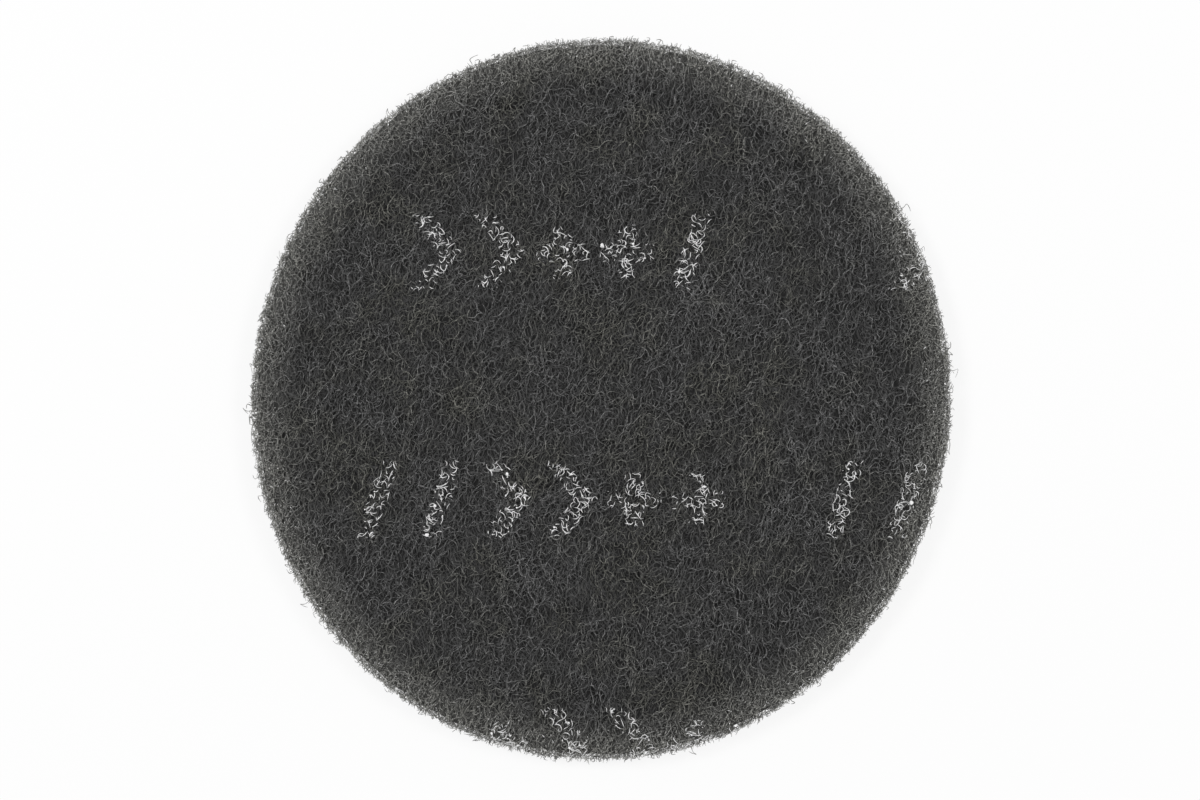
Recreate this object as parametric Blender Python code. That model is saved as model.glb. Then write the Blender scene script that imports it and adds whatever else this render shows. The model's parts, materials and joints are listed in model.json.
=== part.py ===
"""Non-woven abrasive disc: one mat of crimped fibres bonded with grit and resin, die-cut nearly round.

Metres, +Z up. The origin is the middle of the underside, and the print reads with +Y up.
"""

import math

import bmesh
import bpy
from mathutils import Vector, noise
from mathutils.geometry import delaunay_2d_cdt

# Outline. The mat relaxes after the cut, so that one way across is longer than the other.
MEAN_DIAMETER = 0.150
OUT_OF_ROUND = 0.0012  # the long radius over the mean one, and the mean one over the short one
LONG_AXIS_ANGLE = math.radians(81.7)  # from +X
CUT_WAVER = 0.00012  # slow unevenness of the cut
CUT_WAVER_LENGTH = 0.022

# Section. The die presses the upper edge over further than the lower one.
THICKNESS = 0.008
UPPER_ROLL_WIDTH = 0.0055
UPPER_ROLL_DROP = 0.0022
LOWER_ROLL_WIDTH = 0.0018
LOWER_ROLL_RISE = 0.0012

# Matted surface: clumps on the upper face, and ragged tufts on the cut wall.
CLUMP_SPACING = 0.0065
CLUMP_DEPTH = 0.0004
TUFT_SPACING = 0.0040
TUFT_DEPTH = 0.0005

# Print: runs of plain marks along X, which the die cuts off where it passes.
MARK_HEIGHT = 0.0165
MARK_PITCH = 0.0135
STROKE_WIDTH = 0.0042
CHEVRON_REACH = 0.0065
CROSS_WIDTH = 0.0115
SLASH_LEAN = 0.0050
UPPER_ROW = 0.0310  # each row's middle, along Y
MIDDLE_ROW = -0.0210
LOWER_ROW = -0.0730
PRINT_MARGIN = 0.0006  # from the rim's deepest tufts

# Facets
SECTORS = 152  # round the outline
ROLL_STEPS = 4
WALL_STEPS = 3
GRID_CLEARANCE = 0.6  # share of a facet that the face's own points keep from its fixed edges
MERGE_DISTANCE = 1e-6

# Finish
MAT_GREY = (0.055, 0.055, 0.053, 1.0)
MAT_ROUGHNESS = 0.85
INK_WHITE = (0.80, 0.80, 0.79, 1.0)
INK_ROUGHNESS = 0.6
SHARP_ANGLE = math.radians(50)
MAT_SLOT, INK_SLOT = 0, 1


def bar(foot, head, width):
    """Corners, counter-clockwise, of a bar with level ends, this wide along X."""
    half = Vector((width / 2, 0.0))
    return [foot - half, foot + half, head + half, head - half]


def chevron(middle):
    """An angle that points along +X, as convex bars. It is centred on a point, as each mark is."""
    rise = MARK_HEIGHT / 2
    width = STROKE_WIDTH * math.hypot(rise, CHEVRON_REACH) / rise
    tip = middle + Vector((CHEVRON_REACH / 2, 0.0))
    back = middle.x - CHEVRON_REACH / 2
    head = Vector((back, middle.y + rise))
    foot = Vector((back, middle.y - rise))
    return [bar(foot, tip, width), bar(tip, head, width)]


def cross(middle):
    rise = Vector((0.0, CROSS_WIDTH / 2))
    half_stroke = Vector((0.0, STROKE_WIDTH / 2))
    upright = bar(middle - rise, middle + rise, STROKE_WIDTH)
    level = bar(middle - half_stroke, middle + half_stroke, CROSS_WIDTH)
    return [upright, level]


def slash(middle):
    end = Vector((SLASH_LEAN / 2, MARK_HEIGHT / 2))
    width = STROKE_WIDTH * math.hypot(SLASH_LEAN, MARK_HEIGHT) / MARK_HEIGHT
    return [bar(middle - end, middle + end, width)]


PRINTED_RUNS = (  # row, middle of the first mark along X, marks
    (UPPER_ROW, -0.0350, (chevron, chevron, cross, cross, slash)),
    (UPPER_ROW, 0.0660, (chevron,)),
    (MIDDLE_ROW, -0.0470, (slash, slash, chevron, chevron, cross, cross)),
    (MIDDLE_ROW, 0.0510, (slash, slash)),
    (LOWER_ROW, -0.0210, (cross, chevron, chevron, cross)),
)


def rough(point, spacing):
    """Smooth noise from 0 to 1 with lumps this far apart."""
    return 0.5 + 0.5 * noise.noise(Vector(point) / spacing)


def outline_radius(angle):
    """From the origin to the cut wall's furthest reach, before its tufts."""
    mean = MEAN_DIAMETER / 2
    on_circle = (mean * math.cos(angle), mean * math.sin(angle), 0.0)
    stretch = OUT_OF_ROUND * math.cos(2 * (angle - LONG_AXIS_ANGLE))
    return mean + stretch + CUT_WAVER * rough(on_circle, CUT_WAVER_LENGTH)


def upper_height(point):
    """Height of the upper surface: matted and level inside, rolled over towards the wall."""
    inset = outline_radius(math.atan2(point.y, point.x)) - point.length
    ahead = min(max(1 - inset / UPPER_ROLL_WIDTH, 0.0), 1.0)
    turned = 1 - math.sqrt(1 - ahead ** 2)
    clumps = CLUMP_DEPTH * rough((point.x, point.y, THICKNESS), CLUMP_SPACING)
    return THICKNESS - UPPER_ROLL_DROP * turned - clumps * (1 - turned)


def ring(inset, height, tufts):
    """Points round the outline, this far in from it, and further by a share of the tufts."""
    points = []
    for i in range(SECTORS):
        angle = math.tau * i / SECTORS
        ray = Vector((math.cos(angle), math.sin(angle), 0.0))
        point = ray * (outline_radius(angle) - inset)
        point.z = height
        points.append(point - ray * (tufts * TUFT_DEPTH * rough(point, TUFT_SPACING)))
    return points


def quarter_turn(width, height):
    """Points of a quarter ellipse, from the flat on: (distance from the wall, distance from the flat)."""
    turns = [math.pi / 2 * i / ROLL_STEPS for i in range(ROLL_STEPS + 1)]
    return [(width * (1 - math.sin(t)), height * (1 - math.cos(t))) for t in turns]


def upper_roll_rings():
    """Rings from the upper flat's edge to the top of the wall."""
    steps = quarter_turn(UPPER_ROLL_WIDTH, UPPER_ROLL_DROP)
    return [ring(inset, THICKNESS - drop, drop / UPPER_ROLL_DROP) for inset, drop in steps]


def wall_rings():
    """Rings from below the top of the wall to the edge of the underside's flat."""
    wall_height = THICKNESS - UPPER_ROLL_DROP - LOWER_ROLL_RISE
    heights = [LOWER_ROLL_RISE + wall_height * (1 - i / WALL_STEPS) for i in range(1, WALL_STEPS)]
    steps = reversed(quarter_turn(LOWER_ROLL_WIDTH, LOWER_ROLL_RISE))
    lower_roll = [ring(inset, rise, rise / LOWER_ROLL_RISE) for inset, rise in steps]
    return [ring(0.0, height, 1.0) for height in heights] + lower_roll


def sides(shape):
    return zip(shape, shape[1:] + shape[:1])


def depth_inside(point, shape):
    """How far a point lies inside a convex shape, less than zero where it lies outside."""
    return min((b - a).normalized().cross(point - a) for a, b in sides(shape))


def clipped(shape, fence):
    """What of a convex shape lies inside a convex fence, both counter-clockwise."""
    for a, b in sides(fence):
        kept = []
        for p, q in sides(shape):
            p_depth = (b - a).cross(p - a)
            q_depth = (b - a).cross(q - a)
            if p_depth >= 0:
                kept.append(p)
            if p_depth * q_depth < 0:
                kept.append(p.lerp(q, p_depth / (p_depth - q_depth)))
        shape = kept
    return shape


def printed_bars():
    """Every bar of the print, cut off short of the rim."""
    fence = [p.to_2d() for p in ring(TUFT_DEPTH + PRINT_MARGIN, THICKNESS, 0.0)]
    found = []
    for row, first, marks in PRINTED_RUNS:
        for i, mark in enumerate(marks):
            found += [clipped(b, fence) for b in mark(Vector((first + i * MARK_PITCH, row)))]
    return [b for b in found if b]


def face_points(roll, bars):
    """The upper face's own points: its roll's rings, and a triangular grid inside them."""
    pitch = math.pi * MEAN_DIAMETER / SECTORS
    row_pitch = pitch * math.sqrt(3) / 2
    clearance = GRID_CLEARANCE * pitch
    points = [p.to_2d() for one in roll for p in one]
    flat_edge = points[:SECTORS]
    reach = max(p.length for p in flat_edge)
    rows = math.ceil(reach / row_pitch)
    columns = math.ceil(reach / pitch)
    for row in range(-rows, rows + 1):
        shift = pitch / 2 * (row % 2)
        for column in range(-columns, columns + 1):
            point = Vector((column * pitch + shift, row * row_pitch))
            sector = round(math.atan2(point.y, point.x) / math.tau * SECTORS) % SECTORS
            if point.length < flat_edge[sector].length - clearance:
                points.append(point)
    return [p for p in points if all(abs(depth_inside(p, b)) > clearance / 2 for b in bars)]


def build_upper_face(mesh, rim, roll, bars):
    """Fills the rim's ring with the upper face, whose edges follow the print's."""
    loop = [v.co.to_2d() for v in rim]
    points = loop + face_points(roll, bars)
    edges = []
    for shape in bars:
        first, count = len(points), len(shape)
        points += shape
        edges += [(first + i, first + (i + 1) % count) for i in range(count)]
    inside_only = 1
    flat, _, faces, sources, _, _ = delaunay_2d_cdt(
        points, edges, [list(range(SECTORS))], inside_only, MERGE_DISTANCE)
    corners = []
    for point, found in zip(flat, sources):
        on_rim = [s for s in found if s < SECTORS]
        place = (point.x, point.y, upper_height(point))
        corners.append(rim[on_rim[0]] if on_rim else mesh.verts.new(place))
    for face in faces:
        filled = mesh.faces.new([corners[i] for i in face])
        middle = filled.calc_center_median().to_2d()
        printed = any(depth_inside(middle, b) > 0 for b in bars)
        filled.material_index = INK_SLOT if printed else MAT_SLOT


def build_wall(mesh, rim):
    """The cut wall below the rim's ring, and the underside."""
    rings = [rim] + [[mesh.verts.new(p) for p in points] for points in wall_rings()]
    for upper, lower in zip(rings, rings[1:]):
        for i in range(SECTORS):
            j = (i + 1) % SECTORS
            mesh.faces.new((upper[i], lower[i], lower[j], upper[j]))
    mesh.faces.new(rings[-1][::-1])


def matte_material(name, colour, roughness):
    material = bpy.data.materials.new(name)
    material.use_nodes = True
    shader = material.node_tree.nodes["Principled BSDF"]
    shader.inputs["Base Color"].default_value = colour
    shader.inputs["Roughness"].default_value = roughness
    shader.inputs["Metallic"].default_value = 0.0
    return material


def make_disc():
    mesh = bmesh.new()
    *roll, wall_top = upper_roll_rings()
    rim = [mesh.verts.new(p) for p in wall_top]
    build_upper_face(mesh, rim, roll, printed_bars())
    build_wall(mesh, rim)
    bmesh.ops.recalc_face_normals(mesh, faces=mesh.faces)
    data = bpy.data.meshes.new("fibre_disc")
    mesh.to_mesh(data)
    mesh.free()
    data.materials.append(matte_material("abrasive_fibre", MAT_GREY, MAT_ROUGHNESS))
    data.materials.append(matte_material("printing_ink", INK_WHITE, INK_ROUGHNESS))
    data.shade_smooth()
    data.set_sharp_from_angle(angle=SHARP_ANGLE)
    disc = bpy.data.objects.new("fibre_disc", data)
    bpy.context.scene.collection.objects.link(disc)


def main():
    for old in list(bpy.data.objects):
        bpy.data.objects.remove(old)
    make_disc()


main()
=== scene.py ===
"""Looks of the non-woven abrasive disc.

Crimped fibres lie over a dark core, with a ragged rim and broken ink on the topmost ones. Metres, in the
CAD model's frame: +Z up, the origin in the middle of the underside.
"""

import json
import math
from collections import namedtuple

import bmesh
import bpy
import numpy as np
from mathutils import Matrix, Vector, noise
from mathutils.bvhtree import BVHTree

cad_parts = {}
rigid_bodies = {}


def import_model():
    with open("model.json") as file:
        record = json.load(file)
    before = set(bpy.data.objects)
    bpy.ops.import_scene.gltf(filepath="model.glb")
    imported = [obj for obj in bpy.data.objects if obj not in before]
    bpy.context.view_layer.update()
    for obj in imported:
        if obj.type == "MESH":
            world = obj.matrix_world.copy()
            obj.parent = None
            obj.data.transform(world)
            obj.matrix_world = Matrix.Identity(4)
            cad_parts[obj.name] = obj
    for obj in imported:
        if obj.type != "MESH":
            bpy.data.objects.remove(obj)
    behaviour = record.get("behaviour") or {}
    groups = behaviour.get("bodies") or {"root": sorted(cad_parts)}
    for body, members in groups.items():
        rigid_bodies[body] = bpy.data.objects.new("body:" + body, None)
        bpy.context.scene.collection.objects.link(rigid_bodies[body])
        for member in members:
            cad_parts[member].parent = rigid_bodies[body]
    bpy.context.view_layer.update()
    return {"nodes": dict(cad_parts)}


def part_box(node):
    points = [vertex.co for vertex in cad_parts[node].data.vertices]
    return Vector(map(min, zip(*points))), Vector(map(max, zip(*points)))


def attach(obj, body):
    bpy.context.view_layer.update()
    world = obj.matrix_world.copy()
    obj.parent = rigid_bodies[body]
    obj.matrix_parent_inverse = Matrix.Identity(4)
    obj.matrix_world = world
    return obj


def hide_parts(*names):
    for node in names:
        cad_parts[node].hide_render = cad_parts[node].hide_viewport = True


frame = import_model()
DISC = frame["nodes"]["fibre_disc"]
LOW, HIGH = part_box("fibre_disc")

# Seeds of the pieces. There is one piece of top fibres for each of the first.
TOP_SEEDS = (20, 21, 22, 23)
UNDER_SEED = 30
RIM_SEED = 31
FRINGE_SEED = 32
INK_SEED = 33
ROLL_SEED = 34

# How a fibre runs: its points, the step between them, how far it swings from its heading (radians) over
# what length, and how much the heading wanders at each step.
Crimp = namedtuple("Crimp", "points step swing wave wander")
TOP_CRIMP = Crimp(points=21, step=0.00065, swing=(0.4, 1.05), wave=(0.0023, 0.0055), wander=0.22)
UNDER_CRIMP = Crimp(points=13, step=0.0011, swing=(0.3, 0.8), wave=(0.0060, 0.0110), wander=0.20)
RIM_CRIMP = Crimp(points=6, step=0.00045, swing=(0.5, 1.5), wave=(0.0018, 0.0040), wander=0.30)
FRINGE_CRIMP = Crimp(points=4, step=0.00036, swing=(0.5, 1.6), wave=(0.0012, 0.0026), wander=0.45)

# The web's fibres
FIBRE_RADIUS = 0.000071
GIRTHS = (0.75, 1.2)  # from fibre to fibre
NODULES = (0.7, 1.35)  # along each of them, where resin and grit gather
FIBRE_REACH = FIBRE_RADIUS * GIRTHS[1] * NODULES[1]  # the thickest place's radius
TUBE_SIDES = 3
TAPER_CURVE = 0.4  # the lower it is, the shorter is the stretch that narrows
FACE_TAPER = 0.6  # a fibre's ends have this share of its girth
RIM_TAPER = 0.5
LAY_ANGLE = math.radians(72)  # most fibres run this way, from +X
LAY_STRETCH = 1.3
TOP_FIBRES = 1460  # in each piece
UNDER_FIBRES = 850
FACE_REACH = 1.06  # the faces' fibres start out to this share of the outline's radius
DIVE_LENGTH = (0.003, 0.007)  # from one crest of a fibre to the next
TOP_CREST = 0.00035  # the crests lie up to this deep
TOP_DIVE = (0.0003, 0.0009)  # and the fibre dives this far below them
UNDER_CREST = 0.00015
UNDER_DIVE = (0.0001, 0.0004)

# The rim
RIM_FIBRES = 4400
RIM_BAND = 0.0010  # the rim's fibres lie this far in
RIM_TURN = 0.8  # radians off the way round, on average
RIM_WAVE = 0.08  # rise or fall at each point, as a share of the thickness
FRINGE = 0.00032  # how far cut ends reach past the wall, on average
FRINGE_LIMIT = 0.0011
FRINGE_FIBRES = 2900
FRINGE_BAND = (0.0001, 0.0007)  # where they start, in from the wall
FRINGE_SPREAD = 0.7  # radians off the way out, on average
FRINGE_RISE = 0.4  # or fall, as a share of each step
TUFT_REACH = 0.00035  # tufts of the fringe stand out this much further, or less
TUFT_SPACING = 0.0045

# Short cut ends, in the fringe and on the rolled edge
END_RADIUS = 0.000065
END_TAPER = 0.4
END_LENGTH = (0.0004, 0.0009)
END_ROOT = 0.6  # share of an end's length that starts below the surface
END_SPREAD = 0.7  # added to the unit vector that they point along, on average
ROLL_ENDS = 4300
ROLL_REACH = 0.0065
ROLL_CROWDING = 1.5  # more of them near the wall

# Single fibres that hang out of the rim: six long ones, and wisps anywhere round it
STRAY_ANGLES = (5.6, 33.3, 112.0, 181.3, 214.0, 285.2)  # degrees
STRAY_REACH = 0.0022
WISPS = 60
WISP_REACH = (0.0008, 0.0015)
STRAY_POINTS = 10
STRAY_ROOT = 0.0010  # how far in they start
STRAY_LEVELS = (0.0020, 0.0050)
STRAY_CURL = (1.6, 2.4)  # radians from root to tip. Past a quarter turn, the tip comes back.
STRAY_DRIFT = (0.4, 1.3)  # sideways, in reaches
STRAY_SWAY = 0.25  # from side to side, in reaches
STRAY_SWAY_TURN = 7.0  # radians from root to tip
STRAY_RISE = 0.3  # and up and down
STRAY_RISE_TURN = 5.0

# The core: the CAD solid drawn in
CORE_CUTS = 1
CORE_RIM_INSET = 0.0010
CORE_FOOT_INSET = 0.0003  # at the bottom
CORE_FOOT = 0.0020  # the inset grows from one to the other over this height
CORE_RIM_RAGGED = 0.0004
CORE_RIM_SPACING = 0.0030
CORE_TOP_INSET = 0.0012
CORE_BOTTOM = 0.0004
CORE_LUMP = 0.00020
CORE_LUMP_SPACING = 0.0030

# Rolled edges, as on the CAD solid
UPPER_ROLL_DROP = 0.0022
LOWER_ROLL_WIDTH = 0.0018
LOWER_ROLL_RISE = 0.0012

# Print, as on the CAD solid
MARK_HEIGHT = 0.0165
MARK_PITCH = 0.0135
STROKE_WIDTH = 0.0042
CHEVRON_REACH = 0.0065
CROSS_WIDTH = 0.0115
SLASH_LEAN = 0.0050
UPPER_ROW = 0.0310
MIDDLE_ROW = -0.0210
LOWER_ROW = -0.0730

# Ink on the top fibres
INK_SPACING = 0.00102  # one strand for each square of this side
INK_LENGTH = (0.0005, 0.0022)
INK_POINTS = 5
INK_BEND = 0.28  # of a strand's length, on average
INK_BRANCHING = 0.12  # share of strands that start where another one ends
INK_RADIUS = 0.000079
INK_TAPER = 0.35
INK_RISE = 0.00004  # over the web's crests
DROPS = 80
DROP_RADIUS = (0.00011, 0.00038)
DROP_RARITY = 5  # of the larger ones
DROP_STRETCH = 1.4
DROP_FLATNESS = 0.4
DROP_UNEVENNESS = 0.6
DROP_SUBDIVISIONS = 2
DROP_VARIETY = 1000  # lumps of the noise for each metre from drop to drop

# Colour by place: painted shade with depth, and painted light towards the rim
SHADE_DEPTH = 0.0011  # painted shade: a fibre this deep is darkest
RIM_FADE = 0.0105  # painted light: the fibres grow paler over this width, as if the white surroundings shone through the edge
RIM_CURVE = 1.5
RIM_WARMTH = 0.04
WARM_TINT = (0.2, 0.1, -1.5)  # what a warmth of 1 adds to red, green and blue, as shares

# Finish of the fibres. A scale is a noise's lumps for each metre, and its levels are the noise values
# between which what it drives sets in. A look's numbers are greys, apart from the painted depth shade, a
# share of black painted as shade on the deepest fibres. The rim's grey is painted light at the wall, and
# specks are painted glints.
FibreLook = namedtuple("FibreLook", "dark light rim_light deepening specks")
WEB_LOOK = FibreLook(dark=0.08, light=0.208, rim_light=0.28, deepening=0.88, specks=0.0)
RIM_LOOK = FibreLook(dark=0.08, light=0.26, rim_light=0.18, deepening=0.3, specks=0.0)
CUT_LOOK = FibreLook(dark=0.10, light=0.24, rim_light=0.36, deepening=0.4, specks=0.8)
OLIVE_WARMTH = 0.07
OLIVE_SCALE = 90.0
OLIVE_LEVELS = (0.45, 0.65)
MOTTLE = (0.7, 1.3)  # of the rim's painted light
MOTTLE_SCALE = 1100.0
MOTTLE_LEVELS = (0.35, 0.65)
SPECK_SCALE = 170.0  # specks are painted glints on the palest ends, in patches near the wall
SPECK_LEVELS = (0.53, 0.58)
SPECK_RIM = (0.3, 0.5)
SPECK_TONES = (0.75, 0.77)
COATING = (0.3, 1.7)  # of a fibre's colour, where the coat is thin and thick
COATING_SCALE = 2600.0
COATING_LEVELS = (0.35, 0.65)
GRIT_SCALE = 9000.0
GRIT_LEVELS = (0.3, 0.7)
GRIT_ROUGHNESS = (0.35, 0.65)
GRIT_BUMP = 0.5
GRIT_HEIGHT = 0.00003

# Finish of the core: wavering strands over near-black painted shade, inside, and paler at the rim as
# painted light
# near black: painted shade of the deep web between the strands
CORE_GAP = 0.001
CORE_STRAND = 0.090
# paler at the wall: painted light, as if the white surroundings shone through the edge
CORE_RIM_GAP = 0.05
CORE_RIM_STRAND = 0.20
CORE_ROUGHNESS = 0.85
CORE_BUMP = 0.6
CORE_BUMP_HEIGHT = 0.0002
STRAND_TURNS = ((25, 60), (-20, 95), (40, 130), (-55, 20), (60, 165), (10, 78))  # degrees, tilt and turn
STRAND_SPACING = 0.0007
STRAND_WIDTH = 0.00009
STRAND_SHIFT = 1.7  # from one direction's noise to the next
STRAND_BREAK_SCALE = 330.0
STRAND_BREAK_LEVELS = (0.44, 0.56)
STRAND_BREAK_SHIFT = 0.5
WAVER_SCALE = 260.0
WAVER_REACH = 0.0030

# Finish of the ink, worn and whole
INK_GREYS = (0.72, 0.95)
INK_ROUGHNESS = (0.7, 0.5)
INK_WEAR_SCALE = 1500.0
INK_WEAR_LEVELS = (0.30, 0.55)
INK_GRAIN_SCALE = 7000.0
INK_BUMP = 0.4
INK_BUMP_HEIGHT = 0.00003

# Studio
FLOOR_HALF = 3.0
FLOOR_GREY = 0.9
FLOOR_ROUGHNESS = 0.9
FLOOR_WHITE = (0.85, 1.0)  # share of plain white that the camera sees, near the disc and far off
FLOOR_WHITE_RADII = (0.2, 0.7)
WORLD_LIGHT = 0.33
WORLD_SEEN = 1.0
BOX_SIZE = 0.4
LEFT_BOX = (-0.7, 0.3, 1.0)
LEFT_WATTS = 8.2
RIGHT_BOX = (0.7, 0.2, 1.0)
RIGHT_WATTS = 5.6

# Camera, straight above the photo's middle
PHOTO_WIDTH = 1200
PHOTO_HEIGHT = 800
MEAN_DIAMETER = 0.150
PIXELS_ACROSS = 708.6  # the mean diameter in the photo
PIXEL = MEAN_DIAMETER / PIXELS_ACROSS
DISC_IN_PHOTO = (600.9, 399.6)  # its centre, in pixels from the upper left
LENS = 85
SENSOR = 36

# Measuring the CAD solid
OUTLINE_STEPS = 720
OUTLINE_LEVEL = 0.004
GRID_STEP = 0.0008
GRID_MARGIN = 0.001  # of a step, kept from the grid's far sides
FAR = 2 * max(HIGH.x, HIGH.y)  # well outside the disc
WELD_DISTANCE = 1e-7  # each triangle of the CAD mesh has corners of its own
CAD_NORMALS = "custom_normal"  # the attribute that holds them

GOLDEN_ANGLE = math.pi * (3 - math.sqrt(5))
EVEN_STEP = (0.7548776662, 0.5698402910)  # spreads points evenly over a square
TINY = 1e-6  # keeps a vector from having no length
MIX_A, MIX_B, MIX_RESULT = 6, 7, 2  # the sockets of a Mix node that carry colour


def bar(foot, head, width):
    """Corners, counter-clockwise, of a bar with level ends, this wide along X."""
    half = np.array((width / 2, 0.0))
    return np.array([foot - half, foot + half, head + half, head - half])


def chevron(middle):
    """An angle that points along +X, as convex bars. It is centred on a point, as each mark is."""
    rise = MARK_HEIGHT / 2
    width = STROKE_WIDTH * math.hypot(rise, CHEVRON_REACH) / rise
    tip = middle + (CHEVRON_REACH / 2, 0.0)
    head = middle + (-CHEVRON_REACH / 2, rise)
    foot = middle + (-CHEVRON_REACH / 2, -rise)
    return [bar(foot, tip, width), bar(tip, head, width)]


def cross(middle):
    rise = np.array((0.0, CROSS_WIDTH / 2))
    half_stroke = np.array((0.0, STROKE_WIDTH / 2))
    upright = bar(middle - rise, middle + rise, STROKE_WIDTH)
    level = bar(middle - half_stroke, middle + half_stroke, CROSS_WIDTH)
    return [upright, level]


def slash(middle):
    end = np.array((SLASH_LEAN / 2, MARK_HEIGHT / 2))
    width = STROKE_WIDTH * math.hypot(SLASH_LEAN, MARK_HEIGHT) / MARK_HEIGHT
    return [bar(middle - end, middle + end, width)]


PRINTED_RUNS = (  # row, middle of the first mark along X, marks
    (UPPER_ROW, -0.0350, (chevron, chevron, cross, cross, slash)),
    (UPPER_ROW, 0.0660, (chevron,)),
    (MIDDLE_ROW, -0.0470, (slash, slash, chevron, chevron, cross, cross)),
    (MIDDLE_ROW, 0.0510, (slash, slash)),
    (LOWER_ROW, -0.0210, (cross, chevron, chevron, cross)),
)


def printed_marks():
    """Every mark of the print, as a list of bars."""
    return [mark(np.array((first + i * MARK_PITCH, row)))
            for row, first, marks in PRINTED_RUNS for i, mark in enumerate(marks)]


def inside(point, corners):
    """Whether a point lies in a convex shape with counter-clockwise corners."""
    along = np.roll(corners, -1, axis=0) - corners
    offset = point - corners
    return bool(np.all(along[:, 0] * offset[:, 1] - along[:, 1] * offset[:, 0] > 0))


def inside_any(point, bars):
    return any(inside(point, b) for b in bars)


class Solid:
    """The CAD solid's outline and upper surface, measured once and read for many points at a time."""

    def __init__(self, disc):
        tree = BVHTree.FromObject(disc, bpy.context.evaluated_depsgraph_get())
        self.angles = np.linspace(0, math.tau, OUTLINE_STEPS + 1)
        self.radii = np.array([self.measured_radius(tree, angle) for angle in self.angles])
        self.low = np.array((LOW.x, LOW.y)) - GRID_STEP
        self.heights = self.measured_heights(tree)

    def measured_radius(self, tree, angle):
        ray = Vector((math.cos(angle), math.sin(angle), 0.0))
        hit = tree.ray_cast(ray * FAR + Vector((0, 0, OUTLINE_LEVEL)), -ray)[0]
        return hit.to_2d().length

    def measured_heights(self, tree):
        """Heights on a square grid, nowhere lower than the top of the wall, so also outside the outline."""
        high = np.array((HIGH.x, HIGH.y)) + GRID_STEP
        counts = np.ceil((high - self.low) / GRID_STEP).astype(int) + 1
        heights = np.full(counts, HIGH.z - UPPER_ROLL_DROP)
        for i, j in np.ndindex(*counts):
            x, y = self.low + GRID_STEP * np.array((i, j))
            hit = tree.ray_cast(Vector((x, y, FAR)), Vector((0, 0, -1)))[0]
            if hit:
                heights[i, j] = max(hit.z, heights[i, j])
        return heights

    def radius(self, x, y):
        return np.interp(np.arctan2(y, x) % math.tau, self.angles, self.radii)

    def inset(self, x, y):
        """Distance inwards from the wall."""
        return self.radius(x, y) - np.hypot(x, y)

    def top(self, x, y):
        """Height of the upper surface by bilinear interpolation."""
        last = np.array(self.heights.shape) - 1
        u = np.clip((np.stack([x, y], -1) - self.low) / GRID_STEP, 0, last - GRID_MARGIN)
        i, j = u[..., 0].astype(int), u[..., 1].astype(int)
        s, t = u[..., 0] - i, u[..., 1] - j
        h = self.heights
        near = h[i, j] * (1 - t) + h[i, j + 1] * t
        far = h[i + 1, j] * (1 - t) + h[i + 1, j + 1] * t
        return near * (1 - s) + far * s

    def bottom(self, x, y):
        """Height of the lower surface, which rolls up at the rim."""
        ahead = np.clip(1 - self.inset(x, y) / LOWER_ROLL_WIDTH, 0, 1)
        return LOWER_ROLL_RISE * (1 - np.sqrt(1 - ahead ** 2))

    def depth(self, x, y, z):
        """How deep points lie under the nearest face."""
        return np.minimum(self.inset(x, y), np.minimum(self.top(x, y) - z, z - self.bottom(x, y)))


SOLID = Solid(DISC)


def unit(vectors):
    return vectors / np.linalg.norm(vectors, axis=-1, keepdims=True)


def outward(angle):
    """Plane unit vectors at these angles."""
    return np.stack([np.cos(angle), np.sin(angle)], -1)


def crimped(rng, places, crimp, heading, anchor):
    """Plane paths that sway from side to side and wander, as (fibre, point, 2).

    The point numbered anchor of each path lies at its place.
    """
    count = len(places)
    s = np.arange(crimp.points) * crimp.step
    swing = rng.uniform(*crimp.swing, (count, 1))
    wave = rng.uniform(*crimp.wave, (count, 1))
    phase = rng.uniform(0, math.tau, (count, 1))
    wander = np.cumsum(rng.normal(0, crimp.wander, (count, crimp.points)), axis=1)
    angle = heading[:, None] + swing * np.sin(math.tau * s / wave + phase) + wander
    moves = crimp.step * outward(angle)
    lay = np.array((math.cos(LAY_ANGLE), math.sin(LAY_ANGLE)))
    moves += (LAY_STRETCH - 1) * (moves @ lay)[..., None] * lay
    paths = np.cumsum(moves, axis=1)
    return places[:, None] + paths - paths[:, anchor, None]


def at_shares(angle, share):
    """Points at these angles and shares of the outline's radius."""
    radius = np.interp(angle % math.tau, SOLID.angles, SOLID.radii) * share
    return np.stack([radius * np.cos(angle), radius * np.sin(angle)], -1)


def at_insets(angle, inset):
    """Points at these angles, about this far in from the wall."""
    return at_shares(angle, 1 - inset / SOLID.radii.mean())


def spread_evenly(rng, count, reach):
    """Points over the disc, out to a share of its outline's radius."""
    k = np.arange(count) + rng.uniform(0, 1, count)
    return at_shares(k * GOLDEN_ANGLE + rng.uniform(0, math.tau), reach * np.sqrt(k / count))


def undulation(rng, count, crimp, depth, length):
    """Rise and fall along each fibre, from 0 to a depth of its own."""
    s = np.arange(crimp.points) * crimp.step
    wave = rng.uniform(*length, (count, 1))
    phase = rng.uniform(0, math.tau, (count, 1))
    return rng.uniform(*depth, (count, 1)) * (0.5 + 0.5 * np.sin(math.tau * s / wave + phase))


def runs_inside(paths, kept):
    """Cuts each path into its stretches of kept points, leaving out those of one point."""
    runs = []
    for path, keep in zip(paths, kept):
        edges = np.flatnonzero(np.diff(np.concatenate([[False], keep, [False]]).astype(int)))
        for first, last in zip(edges[::2], edges[1::2]):
            if last - first > 1:
                runs.append(path[first:last])
    return runs


def across(points, firsts, lasts):
    """Two directions across the run at each point: one level, and one as upright as can be."""
    before = np.arange(len(points)) - 1
    after = np.arange(len(points)) + 1
    before[firsts] = firsts
    after[lasts] = lasts
    along = unit(points[after] - points[before])
    aside = unit(np.cross(along, (0.0, 0.0, 1.0)) + (TINY, 0.0, 0.0))
    return aside, np.cross(aside, along)


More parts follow.
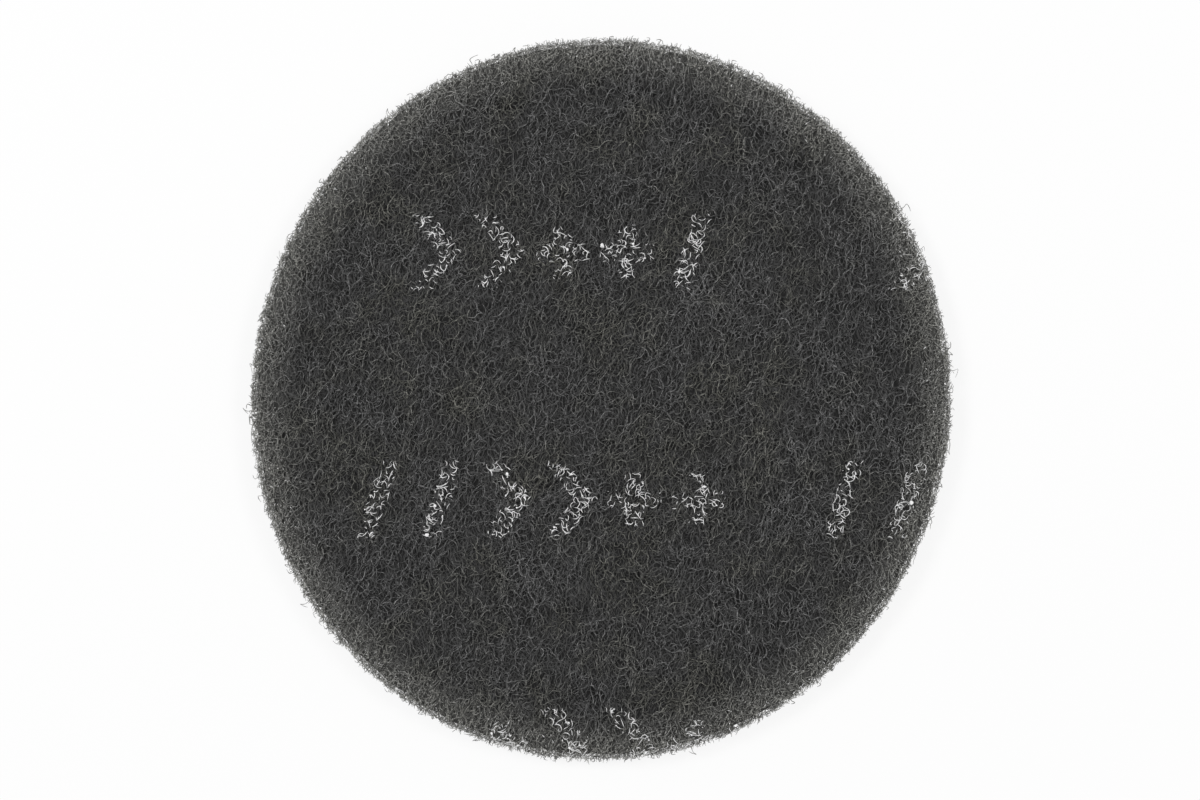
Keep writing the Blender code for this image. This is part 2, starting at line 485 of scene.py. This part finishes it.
def girths(rng, lengths, radius, taper):
    """Radius at each point of runs of these lengths, with narrow ends and nodules."""
    share = np.concatenate([np.linspace(0, 1, n) for n in lengths])
    swell = taper + (1 - taper) * np.abs(np.sin(math.pi * share)) ** TAPER_CURVE
    girth = swell * np.repeat(radius * rng.uniform(*GIRTHS, len(lengths)), lengths)
    return girth * rng.uniform(*NODULES, len(share))


def tube_faces(count, firsts, lasts):
    """Quads from ring to ring, over this many rings in all, and the triangles that close each tube."""
    starts = np.setdiff1d(np.arange(count), lasts)[:, None] * TUBE_SIDES
    side = np.arange(TUBE_SIDES)
    next_side = (side + 1) % TUBE_SIDES
    onwards = starts + TUBE_SIDES
    quads = np.stack([starts + side, starts + next_side, onwards + next_side, onwards + side], -1)
    first_caps = firsts[:, None] * TUBE_SIDES + side[::-1]
    last_caps = lasts[:, None] * TUBE_SIDES + side
    return quads.reshape(-1, 4), np.concatenate([first_caps, last_caps])


def tubes(name, runs, radius, taper, rng):
    """One mesh of closed tubes along these runs of points, each with a flat side up and its own tone."""
    lengths = np.array([len(r) for r in runs])
    points = np.concatenate(runs)
    firsts = np.concatenate([[0], np.cumsum(lengths)[:-1]])
    lasts = firsts + lengths - 1
    aside, up = across(points, firsts, lasts)
    girth = girths(rng, lengths, radius, taper)[:, None]
    turns = math.tau * (np.arange(TUBE_SIDES) + 0.5) / TUBE_SIDES
    rings = np.stack([points + girth * (math.cos(t) * up + math.sin(t) * aside) for t in turns], 1)
    quads, caps = tube_faces(len(points), firsts, lasts)
    piece = mesh_object(name, rings.reshape(-1, 3), quads, caps)
    add_attribute(piece, "tone", np.repeat(rng.uniform(0, 1, len(runs)), lengths * TUBE_SIDES))
    return piece


def mesh_object(name, points, quads, triangles):
    mesh = bpy.data.meshes.new(name)
    corners = np.concatenate([quads.ravel(), triangles.ravel()])
    sizes = np.concatenate([np.full(len(quads), 4), np.full(len(triangles), 3)])
    mesh.vertices.add(len(points))
    mesh.vertices.foreach_set("co", points.astype(np.float32).ravel())
    mesh.loops.add(len(corners))
    mesh.loops.foreach_set("vertex_index", corners.astype(np.int32))
    mesh.polygons.add(len(sizes))
    mesh.polygons.foreach_set("loop_start", (np.cumsum(sizes) - sizes).astype(np.int32))
    mesh.update(calc_edges=True)
    return linked(name, mesh)


def linked(name, mesh):
    mesh.shade_smooth()
    made = bpy.data.objects.new(name, mesh)
    bpy.context.scene.collection.objects.link(made)
    return made


def add_attribute(piece, name, values):
    attribute = piece.data.attributes.new(name, "FLOAT", "POINT")
    attribute.data.foreach_set("value", values.astype(np.float32))


def finish_piece(piece, material):
    """Gives a piece its material and what that reads: how deep and how near the rim each point lies, which
    set its painted shade and painted rim light.
    """
    points = np.empty(len(piece.data.vertices) * 3, np.float32)
    piece.data.vertices.foreach_get("co", points)
    x, y, z = points.reshape(-1, 3).T
    add_attribute(piece, "depth", np.clip(SOLID.depth(x, y, z) / SHADE_DEPTH, 0, 1))
    add_attribute(piece, "rim", np.clip(1 - SOLID.inset(x, y) / RIM_FADE, 0, 1))
    piece.data.materials.clear()
    piece.data.materials.append(material)
    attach(piece, "root")


def within_reach(rng, paths):
    """Which points lie inside the outline, or past it by no more than each fibre's own reach."""
    reach = np.minimum(rng.exponential(FRINGE, (len(paths), 1)), FRINGE_LIMIT)
    return SOLID.inset(paths[..., 0], paths[..., 1]) > -reach


def make_face_fibres(name, seed, count, crimp, upper, crest, dive):
    """Fibres of the upper or lower face, each of which dives and comes up again along its length."""
    rng = np.random.default_rng(seed)
    places = spread_evenly(rng, count, FACE_REACH)
    paths = crimped(rng, places, crimp, rng.uniform(0, math.tau, count), crimp.points // 2)
    x, y = paths[..., 0], paths[..., 1]
    rise_and_fall = undulation(rng, count, crimp, dive, DIVE_LENGTH)
    depth = FIBRE_REACH + rng.uniform(0, crest - FIBRE_RADIUS, (count, 1)) + rise_and_fall
    z = SOLID.top(x, y) - depth if upper else SOLID.bottom(x, y) + depth
    runs = runs_inside(np.stack([x, y, z], -1), within_reach(rng, paths))
    return tubes(name, runs, FIBRE_RADIUS, FACE_TAPER, rng)


def make_rim_fibres(name, seed):
    """Fibres through the whole thickness of the cut wall, with their ends past it, and the strays."""
    rng = np.random.default_rng(seed)
    angle = rng.uniform(0, math.tau, RIM_FIBRES)
    places = at_insets(angle, rng.uniform(-FRINGE, RIM_BAND, RIM_FIBRES))
    heading = angle + math.pi / 2 + rng.normal(0, RIM_TURN, RIM_FIBRES)
    paths = crimped(rng, places, RIM_CRIMP, heading, RIM_CRIMP.points // 2)
    x, y = paths[..., 0], paths[..., 1]
    low, high = SOLID.bottom(x, y) + FIBRE_REACH, SOLID.top(x, y) - FIBRE_REACH
    level = rng.uniform(0, 1, (RIM_FIBRES, 1))
    from_middle = np.arange(RIM_CRIMP.points) - RIM_CRIMP.points / 2
    slope = rng.normal(0, RIM_WAVE, (RIM_FIBRES, 1)) * from_middle
    z = low + (high - low) * np.clip(level + slope, 0, 1)
    runs = runs_inside(np.stack([x, y, z], -1), within_reach(rng, paths))
    return tubes(name, runs + stray_runs(rng), FIBRE_RADIUS, RIM_TAPER, rng)


def stray_runs(rng):
    """Single curled fibres that hang out of the rim and turn back towards it."""
    angles = np.concatenate([np.radians(STRAY_ANGLES), rng.uniform(0, math.tau, WISPS)])
    long_reaches = np.full(len(STRAY_ANGLES), STRAY_REACH)
    reaches = np.concatenate([long_reaches, rng.uniform(*WISP_REACH, WISPS)])
    return [stray_run(rng, angle, reach) for angle, reach in zip(angles, reaches)]


def stray_run(rng, angle, reach):
    s = np.linspace(0, 1, STRAY_POINTS)
    root = SOLID.radius(math.cos(angle), math.sin(angle)) - STRAY_ROOT
    out = root + (reach + STRAY_ROOT) * np.sin(rng.uniform(*STRAY_CURL) * s)
    side = reach * rng.choice([-1, 1])
    aside = side * (rng.uniform(*STRAY_DRIFT) * s + STRAY_SWAY * np.sin(STRAY_SWAY_TURN * s))
    z = rng.uniform(*STRAY_LEVELS) + STRAY_RISE * reach * np.sin(STRAY_RISE_TURN * s)
    turn = angle + aside / root
    return np.stack([out * np.cos(turn), out * np.sin(turn), z], -1)


def make_fringe(name, seed):
    """Cut fibres that reach out past the wall, over its whole height."""
    rng = np.random.default_rng(seed)
    angle = rng.uniform(0, math.tau, FRINGE_FIBRES)
    around = SOLID.radii.mean() * np.stack([np.cos(angle), np.sin(angle), np.zeros(FRINGE_FIBRES)], -1)
    tuft = np.array([noise.noise(Vector(p / TUFT_SPACING)) for p in around])
    places = at_insets(angle, rng.uniform(*FRINGE_BAND, FRINGE_FIBRES) - TUFT_REACH * tuft)
    heading = angle + rng.normal(0, FRINGE_SPREAD, FRINGE_FIBRES)
    paths = crimped(rng, places, FRINGE_CRIMP, heading, 0)
    low, high = SOLID.bottom(*places.T) + FIBRE_REACH, SOLID.top(*places.T)
    rise = rng.normal(0, FRINGE_RISE * FRINGE_CRIMP.step, (FRINGE_FIBRES, FRINGE_CRIMP.points))
    z = rng.uniform(low, high)[:, None] + np.cumsum(rise, axis=1)
    z = np.maximum(z, SOLID.bottom(paths[..., 0], paths[..., 1]) + FIBRE_REACH)
    runs = list(np.concatenate([paths, z[..., None]], -1))
    return tubes(name, runs, END_RADIUS, END_TAPER, rng)


def make_roll_ends(name, seed):
    """Short ends that stand out of the rolled edge."""
    rng = np.random.default_rng(seed)
    angle = rng.uniform(0, math.tau, ROLL_ENDS)
    inset = ROLL_REACH * rng.uniform(0, 1, ROLL_ENDS) ** ROLL_CROWDING
    x, y = at_insets(angle, inset).T
    lean = 1 - inset / ROLL_REACH
    way = rng.normal(0, END_SPREAD, (ROLL_ENDS, 3))
    way += np.stack([np.cos(angle) * lean, np.sin(angle) * lean, 1 - lean], -1)
    length = rng.uniform(*END_LENGTH, (ROLL_ENDS, 1))
    root = np.stack([x, y, SOLID.top(x, y)], -1) - END_ROOT * length * unit(way)
    middle = root + length / 2 * unit(way)
    tip = middle + length / 2 * unit(way + rng.normal(0, END_SPREAD, (ROLL_ENDS, 3)))
    return tubes(name, list(np.stack([root, middle, tip], 1)), END_RADIUS, END_TAPER, rng)


def ink_path(rng, start):
    """A slightly bent strand."""
    angle, length = rng.uniform(0, math.tau), rng.uniform(*INK_LENGTH)
    way = np.array((math.cos(angle), math.sin(angle)))
    t = np.linspace(0, 1, INK_POINTS)[:, None]
    bow = rng.normal(0, INK_BEND) * 4 * t * (1 - t)
    return start + length * (t * way + bow * (-way[1], way[0]))


def ink_paths(rng, bars):
    """Strands that start inside a mark, some of them where another one ends."""
    paths = []
    for i, corners in enumerate(bars):
        base, side, rise = corners[0], corners[1] - corners[0], corners[3] - corners[0]
        area = abs(side[0] * rise[1] - side[1] * rise[0])
        shift = rng.uniform(0, 1, 2)
        for k in range(round(area / INK_SPACING ** 2)):
            u, v = (shift + np.array(EVEN_STEP) * k) % 1
            start = base + u * side + v * rise
            if inside_any(start, bars[:i]):
                continue
            if paths and rng.uniform() < INK_BRANCHING:
                start = paths[rng.integers(len(paths))][-1]
            paths.append(ink_path(rng, start))
    return np.array(paths)


def make_ink(name, seed):
    """Strands of ink on the topmost fibres, broken up inside each mark."""
    rng = np.random.default_rng(seed)
    runs, joints = [], []
    for bars in printed_marks():
        paths = ink_paths(rng, bars)
        joints += [p for p in paths[:, -1] if inside_any(p, bars)]
        kept = np.array([[inside_any(p, bars) for p in path] for path in paths])
        kept &= SOLID.inset(paths[..., 0], paths[..., 1]) > 0
        z = SOLID.top(paths[..., 0], paths[..., 1]) + INK_RISE
        runs += runs_inside(np.concatenate([paths, z[..., None]], -1), kept)
    strands = tubes(name, runs, INK_RADIUS, INK_TAPER, rng)
    add_drops(strands.data, rng, [p for p in joints if SOLID.inset(*p) > 0])
    return strands


def add_drops(mesh, rng, joints):
    """Flattened drops of ink at some of the places where strands end."""
    shape = bmesh.new()
    shape.from_mesh(mesh)
    squash = Matrix.Diagonal((DROP_STRETCH, 1.0, DROP_FLATNESS, 1.0))
    for i in rng.choice(len(joints), DROPS, replace=False):
        x, y = joints[i]
        radius = DROP_RADIUS[0] + (DROP_RADIUS[1] - DROP_RADIUS[0]) * rng.uniform() ** DROP_RARITY
        drop = bmesh.ops.create_icosphere(shape, subdivisions=DROP_SUBDIVISIONS, radius=radius)
        own = Vector((x, y, 0)) * DROP_VARIETY
        for v in drop["verts"]:
            v.co *= 1 + DROP_UNEVENNESS * noise.noise(v.co / DROP_RADIUS[0] + own)
        turn = Matrix.Rotation(rng.uniform(0, math.tau), 4, "Z")
        place = Matrix.Translation((x, y, SOLID.top(x, y) + INK_RISE))
        bmesh.ops.transform(shape, matrix=place @ turn @ squash, verts=drop["verts"])
    shape.to_mesh(mesh)
    shape.free()
    mesh.shade_smooth()


def drawn_in(point):
    """Where a point of the CAD solid's surface lies on the core."""
    raised = min(point.z / CORE_FOOT, 1.0)
    ragged = CORE_RIM_RAGGED * noise.noise(point / CORE_RIM_SPACING)
    inset = CORE_FOOT_INSET + (CORE_RIM_INSET - CORE_FOOT_INSET) * raised + ragged * raised
    share = 1 - inset / float(SOLID.radius(point.x, point.y))
    squeeze = 1 - (CORE_TOP_INSET + CORE_BOTTOM) / HIGH.z
    lump = CORE_LUMP * noise.noise(point / CORE_LUMP_SPACING)
    return Vector((point.x * share, point.y * share, CORE_BOTTOM + point.z * squeeze + lump))


def make_core(name):
    """A dark, lumpy body under the fibres, drawn in from the CAD solid's faces, with normals of its own."""
    mesh = DISC.data.copy()
    mesh.name = name
    if CAD_NORMALS in mesh.attributes:
        mesh.attributes.remove(mesh.attributes[CAD_NORMALS])
    shape = bmesh.new()
    shape.from_mesh(mesh)
    bmesh.ops.remove_doubles(shape, verts=shape.verts, dist=WELD_DISTANCE)
    bmesh.ops.triangulate(shape, faces=shape.faces)
    bmesh.ops.subdivide_edges(shape, edges=shape.edges, cuts=CORE_CUTS, use_grid_fill=True)
    for v in shape.verts:
        v.co = drawn_in(v.co)
    shape.to_mesh(mesh)
    shape.free()
    return linked(name, mesh)


class Nodes:
    """A short way to write a material's nodes."""

    def __init__(self, name):
        self.material = bpy.data.materials.new(name)
        self.material.use_nodes = True
        self.tree = self.material.node_tree
        self.shader = self.tree.nodes["Principled BSDF"]
        self.place = self.add("ShaderNodeTexCoord").outputs["Object"]

    def add(self, kind, inputs=None, **settings):
        """A new node. An input's value is a number, a colour or another node's output."""
        node = self.tree.nodes.new(kind)
        for key, value in settings.items():
            setattr(node, key, value)
        for key, value in (inputs or {}).items():
            self.set(node.inputs[key], value)
        return node

    def set(self, socket, value):
        if isinstance(value, bpy.types.NodeSocket):
            self.tree.links.new(value, socket)
        else:
            socket.default_value = value

    def attribute(self, name):
        return self.add("ShaderNodeAttribute", attribute_name=name).outputs["Fac"]

    def vector(self, operation, a, b):
        return self.add("ShaderNodeVectorMath", {0: a, 1: b}, operation=operation).outputs[0]

    def scaled(self, vector, factor):
        return self.add("ShaderNodeVectorMath", {0: vector, "Scale": factor}, operation="SCALE").outputs[0]

    def shifted(self, offset):
        return self.vector("ADD", self.place, (offset, offset, offset))

    def noise(self, scale, detail=2.0, offset=0.0):
        inputs = {"Vector": self.shifted(offset), "Scale": scale, "Detail": detail}
        return self.add("ShaderNodeTexNoise", inputs).outputs[0]

    def ramp(self, value, levels, span=(0.0, 1.0)):
        """Runs from the span's first number to its second as a value runs from one level to the other."""
        inputs = {"Value": value, "From Min": levels[0], "From Max": levels[1],
                  "To Min": span[0], "To Max": span[1]}
        return self.add("ShaderNodeMapRange", inputs).outputs[0]

    def math(self, operation, a, b):
        return self.add("ShaderNodeMath", {0: a, 1: b}, operation=operation).outputs[0]

    def mix(self, share, a, b):
        """Colour a, and colour b where the share is 1."""
        node = self.add("ShaderNodeMix", {0: share, MIX_A: a, MIX_B: b}, data_type="RGBA")
        return node.outputs[MIX_RESULT]

    def painted_rim_light_share(self):
        """1 at the wall, and 0 where the rim's painted light ends."""
        return self.math("POWER", self.attribute("rim"), RIM_CURVE)

    def bump(self, height, strength, distance):
        made = self.add("ShaderNodeBump", {"Height": height, "Strength": strength, "Distance": distance})
        self.set(self.shader.inputs["Normal"], made.outputs[0])

    def shade(self, colour, roughness):
        self.set(self.shader.inputs["Base Color"], colour)
        self.set(self.shader.inputs["Roughness"], roughness)


def grey(value, warmth=0.0):
    """A grey with less blue where it is warm."""
    red, green, blue = (value * (1 + tint * warmth) for tint in WARM_TINT)
    return (red, green, blue, 1.0)


def web_colour(n, look, tone):
    """A tone for each fibre, faint olive patches, and painted shade that darkens it where deep."""
    neutral = n.mix(tone, grey(look.dark), grey(look.light))
    olive = n.mix(tone, grey(look.dark, OLIVE_WARMTH), grey(look.light, OLIVE_WARMTH))
    colour = n.mix(n.ramp(n.noise(OLIVE_SCALE), OLIVE_LEVELS), neutral, olive)
    # Painted shade: the deeper a fibre lies under the face, the darker it is, as if less light reached it.
    deep = n.ramp(n.attribute("depth"), (0.0, 1.0), (0.0, look.deepening))
    return n.mix(deep, colour, grey(0.0))


def with_painted_rim_light(n, look, colour):
    """Painted light: paler and mottled towards the wall, as if the white surroundings shone through the
    edge.
    """
    # Painted light, mottled: dimmer and paler patches of the rim's painted grey.
    thin, thick = (grey(share * look.rim_light, RIM_WARMTH) for share in MOTTLE)
    mottled = n.mix(n.ramp(n.noise(MOTTLE_SCALE), MOTTLE_LEVELS), thin, thick)
    return n.mix(n.painted_rim_light_share(), colour, mottled)


def with_painted_glints(n, look, colour, tone):
    """Painted glints: near white on the palest ends, in patches near the wall."""
    patch = n.ramp(n.noise(SPECK_SCALE), SPECK_LEVELS)
    near = n.ramp(n.attribute("rim"), SPECK_RIM)
    # Painted highlight: glints on pale ends near the wall.
    painted_glint = n.math("MULTIPLY", n.math("MULTIPLY", near, patch), n.ramp(tone, SPECK_TONES))
    return n.mix(painted_glint, colour, grey(look.specks))


def fibre_material(name, look):
    """Resin-coated fibre, with fine grit, painted shade where deep and painted light near the wall."""
    n = Nodes(name)
    tone = n.attribute("tone")
    colour = with_painted_rim_light(n, look, web_colour(n, look, tone))
    if look.specks:
        colour = with_painted_glints(n, look, colour, tone)
    coating = n.ramp(n.noise(COATING_SCALE, 1.0), COATING_LEVELS, COATING)
    grit = n.noise(GRIT_SCALE, 1.0)
    n.shade(n.scaled(colour, coating), n.ramp(grit, GRIT_LEVELS, GRIT_ROUGHNESS))
    n.bump(grit, GRIT_BUMP, GRIT_HEIGHT)
    return n.material


def strand_lines(n, tilt, turn, offset):
    """Lines of one direction, 1 along their middle, which waver and come and go."""
    shifted = n.shifted(offset)
    inputs = {"Vector": shifted, "Scale": WAVER_SCALE, "Detail": 1.0}
    waver = n.add("ShaderNodeTexNoise", inputs).outputs["Color"]
    sway = n.scaled(n.vector("SUBTRACT", waver, (0.5, 0.5, 0.5)), WAVER_REACH)
    inputs = {"Vector": n.vector("ADD", shifted, sway),
              "Rotation": (math.radians(tilt), 0.0, math.radians(turn))}
    turned = n.add("ShaderNodeVectorRotate", inputs, rotation_type="EULER_XYZ").outputs[0]
    level = n.add("ShaderNodeSeparateXYZ", {0: turned}).outputs["Y"]
    gap = n.math("PINGPONG", level, STRAND_SPACING / 2)
    line = n.ramp(gap, (0.0, STRAND_WIDTH), (1.0, 0.0))
    broken = n.noise(STRAND_BREAK_SCALE, 1.0, offset + STRAND_BREAK_SHIFT)
    return n.math("MULTIPLY", line, n.ramp(broken, STRAND_BREAK_LEVELS))


def core_material(name):
    """Fibres that are too deep to model: wavering lines of several directions, over near-black painted
    shade, paler near the wall as painted light.
    """
    n = Nodes(name)
    lines = [strand_lines(n, *turns, STRAND_SHIFT * i) for i, turns in enumerate(STRAND_TURNS)]
    height = lines[0]
    for line in lines[1:]:
        height = n.math("MAXIMUM", height, line)
    # Painted light: the core grows paler towards the wall.
    rim = n.painted_rim_light_share()
    # Near-black gaps: painted shade of the deep web.
    gap = n.mix(rim, grey(CORE_GAP), grey(CORE_RIM_GAP, RIM_WARMTH))
    strand = n.mix(rim, grey(CORE_STRAND), grey(CORE_RIM_STRAND, RIM_WARMTH))
    n.shade(n.mix(height, gap, strand), CORE_ROUGHNESS)
    n.bump(height, CORE_BUMP, CORE_BUMP_HEIGHT)
    return n.material


def ink_material(name):
    n = Nodes(name)
    whole = n.ramp(n.noise(INK_WEAR_SCALE), INK_WEAR_LEVELS)
    worn_grey, whole_grey = INK_GREYS
    n.shade(n.mix(whole, grey(worn_grey), grey(whole_grey)), n.ramp(whole, (0.0, 1.0), INK_ROUGHNESS))
    n.bump(n.noise(INK_GRAIN_SCALE, 1.0), INK_BUMP, INK_BUMP_HEIGHT)
    return n.material


def floor_material(name):
    """Pale, and seen mostly as plain white, with the shadow kept in the rest."""
    n = Nodes(name)
    n.shade(grey(FLOOR_GREY), FLOOR_ROUGHNESS)
    white = n.add("ShaderNodeEmission", {"Color": grey(1.0), "Strength": 1.0}).outputs[0]
    path = n.add("ShaderNodeLightPath").outputs
    seen = n.math("MAXIMUM", path["Is Camera Ray"], path["Is Glossy Ray"])
    seen = n.math("MAXIMUM", seen, path["Is Transmission Ray"])
    away = n.add("ShaderNodeVectorMath", {0: n.place}, operation="LENGTH").outputs["Value"]
    share = n.math("MULTIPLY", seen, n.ramp(away, FLOOR_WHITE_RADII, FLOOR_WHITE))
    mixed = n.add("ShaderNodeMixShader", {0: share, 1: n.shader.outputs[0], 2: white})
    n.set(n.tree.nodes["Material Output"].inputs["Surface"], mixed.outputs[0])
    return n.material


def make_floor():
    mesh = bpy.data.meshes.new("floor")
    signs = ((-1, -1), (1, -1), (1, 1), (-1, 1))
    mesh.from_pydata([(FLOOR_HALF * x, FLOOR_HALF * y, 0) for x, y in signs], [], [(0, 1, 2, 3)])
    mesh.materials.append(floor_material("pale_floor"))
    floor = bpy.data.objects.new("floor", mesh)
    bpy.context.scene.collection.objects.link(floor)


def make_world():
    """White to the camera, and a softer light on the disc."""
    world = bpy.data.worlds.new("studio")
    world.use_nodes = True
    tree = world.node_tree
    background = tree.nodes["Background"]
    background.inputs["Color"].default_value = grey(1.0)
    path = tree.nodes.new("ShaderNodeLightPath")
    strength = tree.nodes.new("ShaderNodeMapRange")
    strength.inputs["To Min"].default_value = WORLD_LIGHT
    strength.inputs["To Max"].default_value = WORLD_SEEN
    tree.links.new(path.outputs["Is Camera Ray"], strength.inputs["Value"])
    tree.links.new(strength.outputs[0], background.inputs["Strength"])
    bpy.context.scene.world = world


def make_light(name, place, watts):
    data = bpy.data.lights.new(name, "AREA")
    data.shape = "DISK"
    data.size = BOX_SIZE
    data.energy = watts
    light = bpy.data.objects.new(name, data)
    light.location = place
    light.rotation_euler = (-Vector(place)).to_track_quat("-Z", "Y").to_euler()
    bpy.context.scene.collection.objects.link(light)


def make_camera():
    data = bpy.data.cameras.new("camera")
    data.lens = LENS
    data.sensor_width = SENSOR
    camera = bpy.data.objects.new("camera", data)
    distance = PHOTO_WIDTH * PIXEL * LENS / SENSOR
    x = (PHOTO_WIDTH / 2 - DISC_IN_PHOTO[0]) * PIXEL
    y = (DISC_IN_PHOTO[1] - PHOTO_HEIGHT / 2) * PIXEL
    camera.location = (x, y, OUTLINE_LEVEL + distance)
    bpy.context.scene.collection.objects.link(camera)
    bpy.context.scene.camera = camera


def make_studio():
    """Camera, light and floor, in place of what a new file starts with."""
    for old in [o for o in bpy.data.objects if o.type in ("CAMERA", "LIGHT") or o.name == "Cube"]:
        bpy.data.objects.remove(old)
    make_camera()
    make_world()
    make_light("left_box", LEFT_BOX, LEFT_WATTS)
    make_light("right_box", RIGHT_BOX, RIGHT_WATTS)
    make_floor()


def make_disc():
    """The core, which stands for the CAD solid, and the fibres and the ink over it."""
    web = fibre_material("web_fibre", WEB_LOOK)
    rim = fibre_material("rim_fibre", RIM_LOOK)
    cut = fibre_material("cut_fibre", CUT_LOOK)
    core = make_core("web_core")
    finish_piece(core, core_material("deep_web"))
    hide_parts("fibre_disc")
    for i, seed in enumerate(TOP_SEEDS):
        name = f"top_fibres_{i + 1}"
        top = make_face_fibres(name, seed, TOP_FIBRES, TOP_CRIMP, True, TOP_CREST, TOP_DIVE)
        finish_piece(top, web)
    under = make_face_fibres("under_fibres", UNDER_SEED, UNDER_FIBRES, UNDER_CRIMP, False,
                             UNDER_CREST, UNDER_DIVE)
    finish_piece(under, web)
    finish_piece(make_rim_fibres("rim_fibres", RIM_SEED), rim)
    finish_piece(make_fringe("fringe", FRINGE_SEED), rim)
    finish_piece(make_roll_ends("roll_ends", ROLL_SEED), cut)
    finish_piece(make_ink("printed_marks", INK_SEED), ink_material("broken_ink"))


def main():
    bpy.context.scene.view_settings.view_transform = "Standard"
    make_studio()
    make_disc()


main()
